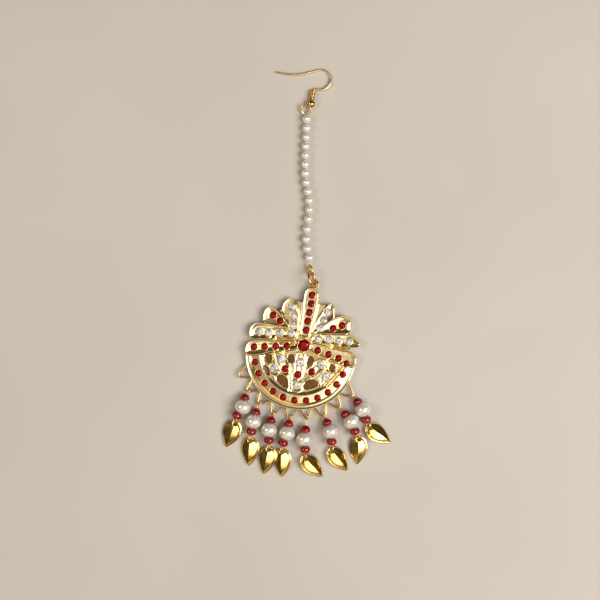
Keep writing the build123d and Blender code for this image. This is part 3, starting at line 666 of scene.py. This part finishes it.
def line_distance(spots, start, end):
    """Distance of each spot from a straight stretch."""
    (ax, ay), (bx, by) = start, end
    ex, ey = bx - ax, by - ay
    t = np.clip(((spots[:, 0] - ax) * ex + (spots[:, 1] - ay) * ey) / (ex * ex + ey * ey), 0, 1)
    return np.hypot(spots[:, 0] - ax - t * ex, spots[:, 1] - ay - t * ey)


def plate_relief(spots):
    """Height and metal of the plain plate: the crescent, the fan's web and the lattice."""
    inner, outer = CRESCENT_SECTION[0][0], CRESCENT_SECTION[-1][0]
    radius = np.hypot(spots[:, 0], spots[:, 1])
    angle = np.degrees(np.arctan2(spots[:, 1], spots[:, 0]))
    sweep = np.radians(np.minimum(angle - CRESCENT_FROM, CRESCENT_TO - angle)) * radius
    web = np.maximum(depth_inside(spots, smooth_outline(FAN_WEBS)), depth_inside(spots, np.array(HUB, float)))
    lattice = np.minimum(inner + LATTICE_LAP - radius, LATTICE_EDGE_Y - spots[:, 1])
    band = np.minimum(np.minimum(radius - inner, outer - radius), sweep)
    height = np.where(web > 0, WEB_TOP, LATTICE_TOP)
    raised = np.maximum(height, np.interp(radius, *zip(*CRESCENT_SECTION)))
    height = np.where(band > -BAND_LAP, raised, height)
    return height, np.maximum(np.maximum(lattice, web), band)


def tray_relief(spots, outline, rim, floor, slope, rise_x, rise_y, height):
    """Height with one tray pressed into it, and how far inside the tray each spot lies."""
    depth = depth_inside(spots, outline)
    edge, drop = FAN_EDGE if rim > FAN_RIM_LEAST else LATTICE_EDGE
    outside = np.interp(depth, [BANK_FROM, 0.0, RIM_WIDTH], [rim - BANK_DROP, rim - SHOULDER, rim])
    inside = np.interp(depth, [RIM_WIDTH, edge - EDGE_ROUND, edge, edge + slope],
                       [rim, rim - SHOULDER, rim - drop, floor])
    away = spots - outline.mean(0)
    inside += np.clip(depth - edge, 0, 1) * (rise_x * away[:, 0] + rise_y * away[:, 1])
    banked = np.where(depth > BANK_FROM, np.maximum(height, outside), height)
    return np.where(depth > RIM_WIDTH, inside, banked), depth


def relief(spots):
    """Height of the casting at each spot, and how far inside its metal the spot lies."""
    height, metal = plate_relief(spots)
    for outline, *tray in TRAYS.values():
        height, depth = tray_relief(spots, smooth_outline(outline), *tray, height)
        metal = np.maximum(metal, depth)
    for start, end, crest in BARS:
        off = np.maximum(line_distance(spots, start, end) - BAR_HALF, 0)
        height = np.maximum(height, crest - BAR_SLOPE * off)
    for start, end, bottom in CUTS:
        off = np.maximum(line_distance(spots, start, end) - CUT_HALF, 0)
        height = np.minimum(height, bottom + CUT_SLOPE * off)
    for hole in LATTICE_HOLES:
        depth = depth_inside(spots, smooth_outline(hole, 1))
        bank = np.interp(depth, [-HOLE_BANK, 0.0], [LATTICE_TOP + HOLE_RISE, LATTICE_TOP - HOLE_DROP])
        height = np.where(depth > -HOLE_BANK, np.minimum(height, bank), height)
        metal = np.minimum(metal, -depth)
    return height, metal


def relief_mesh(name, shape, low, high, step, bottom, place):
    """A cast or stamped form: relief on a square grid, its border drawn onto the outline, walls and a back.

    The shape gives each spot's height and how far inside the metal it lies.
    """
    xs = np.arange(low[0], high[0], step)
    ys = np.arange(low[1], high[1], step)
    spots = np.stack(np.meshgrid(xs, ys), -1).reshape(-1, 2)
    height, metal = shape(spots)
    nx = len(xs)
    row, col = np.meshgrid(np.arange(len(ys) - 1), np.arange(nx - 1), indexing="ij")
    first = (row * nx + col).ravel()
    quads = np.stack([first, first + 1, first + nx + 1, first + nx], 1)
    quads = quads[metal[quads].mean(1) > 0]
    uses = np.bincount(quads.ravel(), minlength=len(spots))
    border = np.flatnonzero((uses > 0) & (uses < 4))
    nudge, furthest, gentlest = 0.02, 0.2, 0.25
    for _ in range(2):
        here = spots[border]
        depth = shape(here)[1]
        slope_x = (shape(here + (nudge, 0))[1] - depth) / nudge
        slope_y = (shape(here + (0, nudge))[1] - depth) / nudge
        steepness = slope_x ** 2 + slope_y ** 2 + 1e-6
        pull = np.clip(depth, -furthest, furthest) / np.maximum(steepness, gentlest)
        spots[border] = here - np.stack([slope_x * pull, slope_y * pull], 1)
    height[border] = shape(spots[border])[0]
    used = np.flatnonzero(uses)
    index = np.zeros(len(spots), int)
    index[used] = np.arange(len(used))
    bm = bmesh.new()
    verts = [bm.verts.new((spots[i, 0], spots[i, 1], height[i])) for i in used]
    for quad in index[quads]:
        bm.faces.new([verts[i] for i in quad])
    rim = [edge for edge in bm.edges if edge.is_boundary]
    wall = bmesh.ops.extrude_edge_only(bm, edges=rim)["geom"]
    for vert in (item for item in wall if isinstance(item, bmesh.types.BMVert)):
        vert.co.z = bottom
    base = [item for item in wall if isinstance(item, bmesh.types.BMEdge) and item.is_boundary]
    bmesh.ops.triangle_fill(bm, use_beauty=True, use_dissolve=False, edges=base)
    bmesh.ops.recalc_face_normals(bm, faces=bm.faces)
    bm.transform(Matrix.Scale(0.001, 4) @ Matrix.Translation(HOME) @ place)
    mesh = bpy.data.meshes.new(name)
    bm.to_mesh(mesh)
    bm.free()
    return mesh


def zigzag_corners():
    """Corners of the zigzag wire: roots on the crescent and tips outside it."""
    corners = []
    for i, reach in enumerate(ZIGZAG_REACH):
        root = ZIGZAG_START + ZIGZAG_STEP * i
        corners.append((*polar(ZIGZAG_ROOT, root), ZIGZAG_Z))
        corners.append((*polar(reach + ZIGZAG_BEND * 2 / 3, root + ZIGZAG_STEP / 2), ZIGZAG_Z))
    corners.append((*polar(ZIGZAG_ROOT, ZIGZAG_START + ZIGZAG_STEP * len(ZIGZAG_REACH)), ZIGZAG_Z))
    return corners


def cup_profile(radius, girdle):
    """Section of a stone's cup: outer wall, thin rolled lip and the seat inside, as radius and height."""
    lip, foot, bore = girdle + 0.03, 0.8, 0.3
    return [
        (radius + 0.30, foot), (radius + 0.17, lip - 0.40), (radius + 0.14, lip - 0.08), (radius + 0.10, lip),
        (radius + 0.05, lip - 0.01), (radius + 0.01, lip - 0.10), (radius - 0.25, girdle - 0.5),
        (bore, girdle - 1.25), (bore, foot),
    ]


def casting(grid):
    """The cast plate with its relief."""
    mesh = relief_mesh("pendant_casting", relief, CASTING_LOW, CASTING_HIGH, grid,
                       CASTING_BACK, PENDANT_PLACE)
    return piece_of(mesh, "gold_pale", sharp=60)


def stone_cups():
    """A cup for each stone of the fields, and the big one for the centre stone."""
    cups = Form()
    places = [(x, y, girdle, radius) for radius, girdle, spots in STONES.values() for x, y in spots]
    for x, y, girdle, radius in [*places, CENTRE_STONE]:
        section = cup_profile(radius, girdle)
        cups.add(*lathe(section, CUP_SIDES), PENDANT_PLACE @ Matrix.Translation((x, y, 0)))
    return cups.make("stone_cups", "gold_pale", sharp=40)


def pendant_wires():
    """The zigzag wire, soldered at each root, and the bail."""
    wires = Form()
    zigzag = rounded_path(zigzag_corners(), ZIGZAG_BEND)
    wires.add(*tube(zigzag, ZIGZAG_WIRE, ZIGZAG_SIDES), PENDANT_PLACE)
    for i in range(len(ZIGZAG_REACH) + 1):
        x, y = polar(ZIGZAG_ROOT - SOLDER_INSET, ZIGZAG_START + ZIGZAG_STEP * i)
        wires.add(*lathe(SOLDER_SECTION, ZIGZAG_SIDES), PENDANT_PLACE @ Matrix.Translation((x, y, ZIGZAG_Z)))
    x, y, height, ring_r, wire_r = BAIL
    ring = circle_path((x, y, height), (0, 0, 1), ring_r)
    wires.add(*tube(ring, wire_r, BAIL_SIDES, closed=True), PENDANT_PLACE)
    return wires.make("pendant_wires", "gold_bright", sharp=70)


def lattice_backing():
    """The sheet behind the lattice, inside the crescent; it lies low, so it takes the casting's painted shade
    in full, and the lattice's openings show that painted shade.
    """
    rim = [polar(CRESCENT_SECTION[0][0], angle) for angle in range(CRESCENT_FROM, CRESCENT_TO, 4)]
    count = len(rim)
    points = [(x, y, z) for z in BACKING for x, y in rim]
    sides = [(k, (k + 1) % count, (k + 1) % count + count, k + count) for k in range(count)]
    back, front = tuple(reversed(range(count))), tuple(range(count, 2 * count))
    backing = Form()
    backing.add(points, [*sides, back, front], PENDANT_PLACE)
    # painted shade: this sheet has the casting's material, which is fully brown at this height
    return backing.make("lattice_backing", "gold_pale", sharp=40)


class TIKKA_OT_pendant(bpy.types.Operator):
    """Casts the pendant plate with its relief, cups, bail and zigzag wire"""
    bl_idname = "tikka.pendant"
    bl_label = "Pendant"

    def execute(self, context):
        grid = context.scene.tikka_sizes.grid * 1000
        for piece in (casting(grid), stone_cups(), pendant_wires(), lattice_backing()):
            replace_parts(piece, "pendant_plate")
        return {"FINISHED"}


# ---- stones ----

class TIKKA_OT_stones(bpy.types.Operator):
    """Gives the cut stones their red and clear glass"""
    bl_idname = "tikka.stones"
    bl_label = "Stones"

    def execute(self, context):
        for node in STONES:
            dress(node, "white_stone" if node in WHITE_FIELDS else "red_stone")
        dress("centre_stone", "red_stone")
        return {"FINISHED"}


# ---- string, hook and rings ----

def drilled_pearl(radius, pole, hole, rings=18):
    """Section of a drilled round bead; the pole is how far its drill mouth lies from its middle."""
    start = atan2(hole, pole * sqrt(max(0.0, 1 - (hole / radius) ** 2)))
    arc = [(radius * sin(a), -pole * cos(a))
           for a in (start + (pi - 2 * start) * k / (rings - 1) for k in range(rings))]
    throat, deep = hole * 0.85, 0.12        # just inside the drill mouth
    return [(throat, arc[0][1] + deep), *arc, (throat, arc[-1][1] - deep)]


class TIKKA_OT_string(bpy.types.Operator):
    """Strings the small pearls and dresses the thread"""
    bl_idname = "tikka.string"
    bl_label = "Pearl string"

    def execute(self, context):
        radius = context.scene.tikka_sizes.string_pearl * 1000
        knots = [Vector((x, y, STRAND_Z)) for x, y in STRAND_KNOTS]
        knots[0].z += STRAND_TOP_LIFT
        pearls = Form()
        for k, (start, end) in enumerate(zip(knots, knots[1:])):
            size = radius * (1 + STRAND_UNEVEN * sin(k * STRAND_BEAT))
            middle = (start + end) / 2
            middle.z = max(middle.z, radius * STRAND_CLEAR)
            section = drilled_pearl(size, size * STRAND_POLE, THREAD_HOLE_R)
            pearls.add(*lathe(section, STRING_PEARL_SIDES), facing(middle, end - start))
        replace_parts(pearls.make("string_pearls", "pearl", sharp=60), "strand_pearls")
        dress("strand_thread", "thread")
        return {"FINISHED"}


class TIKKA_OT_hook(bpy.types.Operator):
    """Dresses the hook, its coil and ball, and the jump rings"""
    bl_idname = "tikka.hook"
    bl_label = "Hook and rings"

    def execute(self, context):
        dress("hook_wire", "gold_wire")
        for node in ("hook_coil", "hook_ball", "ring_upper", "ring_lower"):
            dress(node, "gold_bright")
        return {"FINISHED"}


# ---- drops ----

def drop_plan(tip, x, y, lower, eye):
    """Pearl's centre, directions up and down the wire, and the leaf's hole."""
    angle = ZIGZAG_START + ZIGZAG_STEP * (tip + 0.5)
    apex = PENDANT_PLACE @ Vector((*polar(ZIGZAG_REACH[tip], angle), ZIGZAG_Z))
    top = apex + heading(angle + PENDANT_TURN, 0) * DROP_EYE_R
    pearl = Vector((x, y, DROP_PEARL_Z))
    up = (top - pearl).normalized()
    down = heading(lower, DROP_SLOPE)
    hole = pearl + down * DROP_END + heading(eye, DROP_SLOPE) * 2 * DROP_EYE_R
    return pearl, up, down, hole


def leaf_relief(top, broad, narrow, side):
    """Relief of a stamped leaf: two flat facets that meet in a ridge, and a flared edge."""
    ys, halves = np.array(LEAF_SECTIONS).T
    rows = np.linspace(ys[0], ys[-1], 40)
    widths = np.interp(rows, ys, halves)
    for _ in range(3):
        widths[1:-1] = (widths[:-2] + 2 * widths[1:-1] + widths[2:]) / 4
    outline = np.concatenate([np.stack([widths, rows], 1), np.stack([-widths, rows], 1)[::-1]])

    def shape(spots):
        depth = depth_inside(spots, outline)
        out = spots[:, 0] * side
        middle, fall = LEAF_CREST
        crest = top - fall * (spots[:, 1] - middle) ** 2
        facet = crest - np.where(out > 0, out * tan(radians(broad)), -out * tan(radians(narrow)))
        facet -= LEAF_BOW * out ** 2
        flank = np.interp(depth * np.where(out > 0, 1, NARROW_FLANK), *zip(*LEAF_FLANK))
        hole = np.hypot(spots[:, 0], spots[:, 1]) - LEAF_HOLE_R
        deep, wide = LEAF_HOLE_DIP
        dip = deep * np.clip(1 - hole / wide, 0, 1) ** 2
        return np.minimum(facet, flank) - dip, np.minimum(depth, hole)
    return shape


def leaf_mesh(name, hole, direction, roll, pitch, crest, broad, narrow, side):
    """A stamped leaf, hung by its hole."""
    turn = Matrix.Rotation(radians(direction - 90), 4, "Z")
    turn = turn @ Matrix.Rotation(radians(-pitch), 4, "X") @ Matrix.Rotation(radians(roll), 4, "Y")
    place = Matrix.Translation(hole) @ turn @ Matrix.Translation((0, 0, -LEAF_DROP))
    shape = leaf_relief(crest, broad, narrow, side)
    return relief_mesh(name, shape, LEAF_LOW, LEAF_HIGH, LEAF_GRID, 0, place)


class TIKKA_OT_drops(bpy.types.Operator):
    """Makes the drops' pearls, beads and leaves, and dresses their wires"""
    bl_idname = "tikka.drops"
    bl_label = "Drops"

    def execute(self, context):
        sizes = context.scene.tikka_sizes
        radius, crest = sizes.drop_pearl * 1000, sizes.leaf_crest * 1000
        for number, row in enumerate(DROPS, start=1):
            middle, up, down, hole = drop_plan(*row[:5])
            direction, roll, pitch, *facets = row[5:]
            pearl = Form()
            section = drilled_pearl(radius, PEARL_POLE, THREAD_HOLE_R, 26)
            pearl.add(*lathe(section, DROP_PEARL_SIDES), facing(middle, up - down))
            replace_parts(pearl.make(f"drop_{number}_round_pearl", "pearl", sharp=60), f"drop_{number}_pearl")
            beads = Form()
            beads.add(*lathe(TOP_BEAD_SECTION, TOP_BEAD_SIDES), facing(middle + up * BEAD_AT, up))
            beads.add(*lathe(BEAD_SECTION, BEAD_SIDES), facing(middle + down * BEAD_AT, down))
            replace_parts(beads.make(f"drop_{number}_glass_beads", "red_bead", sharp=60),
                        f"drop_{number}_beads")
            leaf = leaf_mesh(f"drop_{number}_stamped_leaf", hole, direction, roll, pitch, crest, *facets)
            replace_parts(piece_of(leaf, "gold_leaf", sharp=30), f"drop_{number}_leaf")
            dress(f"drop_{number}_wire", "gold_wire")
        return {"FINISHED"}


# ---- stage ----

FLOOR_HALF, FLOOR_DROP = 1.5, 0.00002       # metres: half the floor's width; how far it is under the part
# soft lights: name, glow, width and height in metres, tilt from straight up, turn
SOFTBOXES = [("main_softbox", 8.0, 0.50, 0.56, 40, -12), ("side_softbox", 9.0, 0.18, 0.36, 43, 174)]
LIGHTS_FACE, LIGHTS_AWAY = (-0.002, -0.02, 0), 0.9      # what they face and how far they are from it, metres
# the room, from straight down (0) to straight up (1): a dark floor and walls, and a pale ceiling
ROOM_FLOOR, ROOM_CEILING = (0.045, 0.030, 0.018), (0.61, 0.57, 0.485)
WALL_TINT = (1, 0.79, 0.55)
WALL_LEVELS = [(0.5, 0.07), (0.85, 0.10), (0.94, 0.18), (0.98, 0.38)]
# glows in the room: tilt from straight up, turn, how far from there it is full, how far it ends, colour.
# The first is a white reflector, the second warm light that bounces off what is below it
GLOWS = [(25, -48, 4, 21, (2.9, 2.85, 2.7)), (58, -120, 10, 32, (1.0, 0.76, 0.34))]
CAMERA_AT = (-2.1, -9.6, 497)               # over the part, millimetres
LENS, SENSOR = 85, 36                       # millimetres


def softbox(name, glow, wide, tall, tilt, turn):
    """Soft light whose middle is tilt degrees from straight up, towards the turn's side."""
    light = bpy.data.lights.new(name, "AREA")
    light.shape = "RECTANGLE"
    light.size, light.size_y = wide, tall
    light.energy = glow * pi * wide * tall
    turned = Matrix.Rotation(radians(turn), 4, "Z") @ Matrix.Rotation(radians(tilt), 4, "Y")
    away = Matrix.Translation((0, 0, LIGHTS_AWAY))
    put(name, light).matrix_world = Matrix.Translation(LIGHTS_FACE) @ turned @ away


def studio_floor(scene):
    """A wide painted board just under the part."""
    mesh = bpy.data.meshes.new("studio_floor")
    corners = [(x * FLOOR_HALF, y * FLOOR_HALF, 0) for x, y in ((-1, -1), (1, -1), (1, 1), (-1, 1))]
    mesh.from_pydata(corners, [], [(0, 1, 2, 3)])
    mesh.materials.append(painted_board(scene.tikka_colours))
    floor = put("studio_floor", mesh)
    floor.location.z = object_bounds()[0].z - FLOOR_DROP
    floor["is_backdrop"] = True


def studio_air(scene):
    """The room that the metal mirrors, with its glows."""
    world = bpy.data.worlds.new("studio_air")
    world.use_nodes = True
    tree = world.node_tree
    way = add_node(tree, "ShaderNodeTexCoord").outputs["Generated"]
    height = add_node(tree, "ShaderNodeSeparateXYZ", {"Vector": way}).outputs["Z"]
    ramp = add_node(tree, "ShaderNodeValToRGB", {"Fac": height})
    floor, ceiling = ramp.color_ramp.elements
    floor.position, floor.color = 0, (*ROOM_FLOOR, 1)
    ceiling.position, ceiling.color = 1, (*ROOM_CEILING, 1)
    for position, level in WALL_LEVELS:
        ramp.color_ramp.elements.new(position).color = (*(level * part for part in WALL_TINT), 1)
    sky = ramp.outputs["Color"]
    for tilt, turn, full, end, colour in GLOWS:
        lobe = add_node(tree, "ShaderNodeVectorMath", {0: way, 1: heading_up(tilt, turn)},
                        operation="DOT_PRODUCT").outputs["Value"]
        share = add_node(tree, "ShaderNodeMapRange", {"Value": lobe, "From Min": cos(radians(end)),
                                                      "From Max": cos(radians(full))},
                         interpolation_type="SMOOTHSTEP").outputs["Result"]
        lit = add_node(tree, "ShaderNodeVectorMath", {0: colour, "Scale": share}, operation="SCALE")
        sky = add_node(tree, "ShaderNodeVectorMath", {0: sky, 1: lit.outputs["Vector"]}).outputs["Vector"]
    tree.links.new(sky, tree.nodes["Background"].inputs["Color"])
    scene.world = world


def studio_camera(scene):
    """A camera that looks straight down."""
    lens = bpy.data.cameras.new("camera")
    lens.lens = LENS
    lens.sensor_width = SENSOR
    lens.clip_start = 0.01
    camera = put("camera", lens)
    camera.location = (Vector(CAMERA_AT) + HOME) / 1000
    scene.camera = camera


class TIKKA_OT_stage(bpy.types.Operator):
    """Sets a pale floor, soft studio lights and a camera that looks straight down"""
    bl_idname = "tikka.stage"
    bl_label = "Stage"

    def execute(self, context):
        scene = context.scene
        studio_floor(scene)
        studio_air(scene)
        for row in SOFTBOXES:
            softbox(*row)
        scene.view_settings.view_transform = "Standard"
        studio_camera(scene)
        return {"FINISHED"}


class TIKKA_PT_panel(bpy.types.Panel):
    bl_idname = "TIKKA_PT_panel"
    bl_label = "Maang Tikka"
    bl_space_type = "VIEW_3D"
    bl_region_type = "UI"
    bl_category = "Tikka"

    def draw(self, context):
        for group in (context.scene.tikka_sizes, context.scene.tikka_colours):
            column = self.layout.column(align=True)
            for name in group.__annotations__:
                column.prop(group, name)
        for operator in OPERATORS:
            self.layout.operator(operator.bl_idname)


OPERATORS = (TIKKA_OT_pendant, TIKKA_OT_stones, TIKKA_OT_string, TIKKA_OT_hook,
             TIKKA_OT_drops, TIKKA_OT_stage)
CLASSES = (TikkaSizes, TikkaColours, *OPERATORS, TIKKA_PT_panel)


def register():
    for cls in CLASSES:
        bpy.utils.register_class(cls)
    bpy.types.Scene.tikka_sizes = bpy.props.PointerProperty(type=TikkaSizes)
    bpy.types.Scene.tikka_colours = bpy.props.PointerProperty(type=TikkaColours)


def unregister():
    del bpy.types.Scene.tikka_colours
    del bpy.types.Scene.tikka_sizes
    for cls in reversed(CLASSES):
        bpy.utils.unregister_class(cls)


def main():
    """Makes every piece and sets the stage."""
    register()
    bpy.ops.tikka.pendant()
    bpy.ops.tikka.stones()
    bpy.ops.tikka.string()
    bpy.ops.tikka.hook()
    bpy.ops.tikka.drops()
    bpy.ops.tikka.stage()


if __name__ == "__main__":
    main()
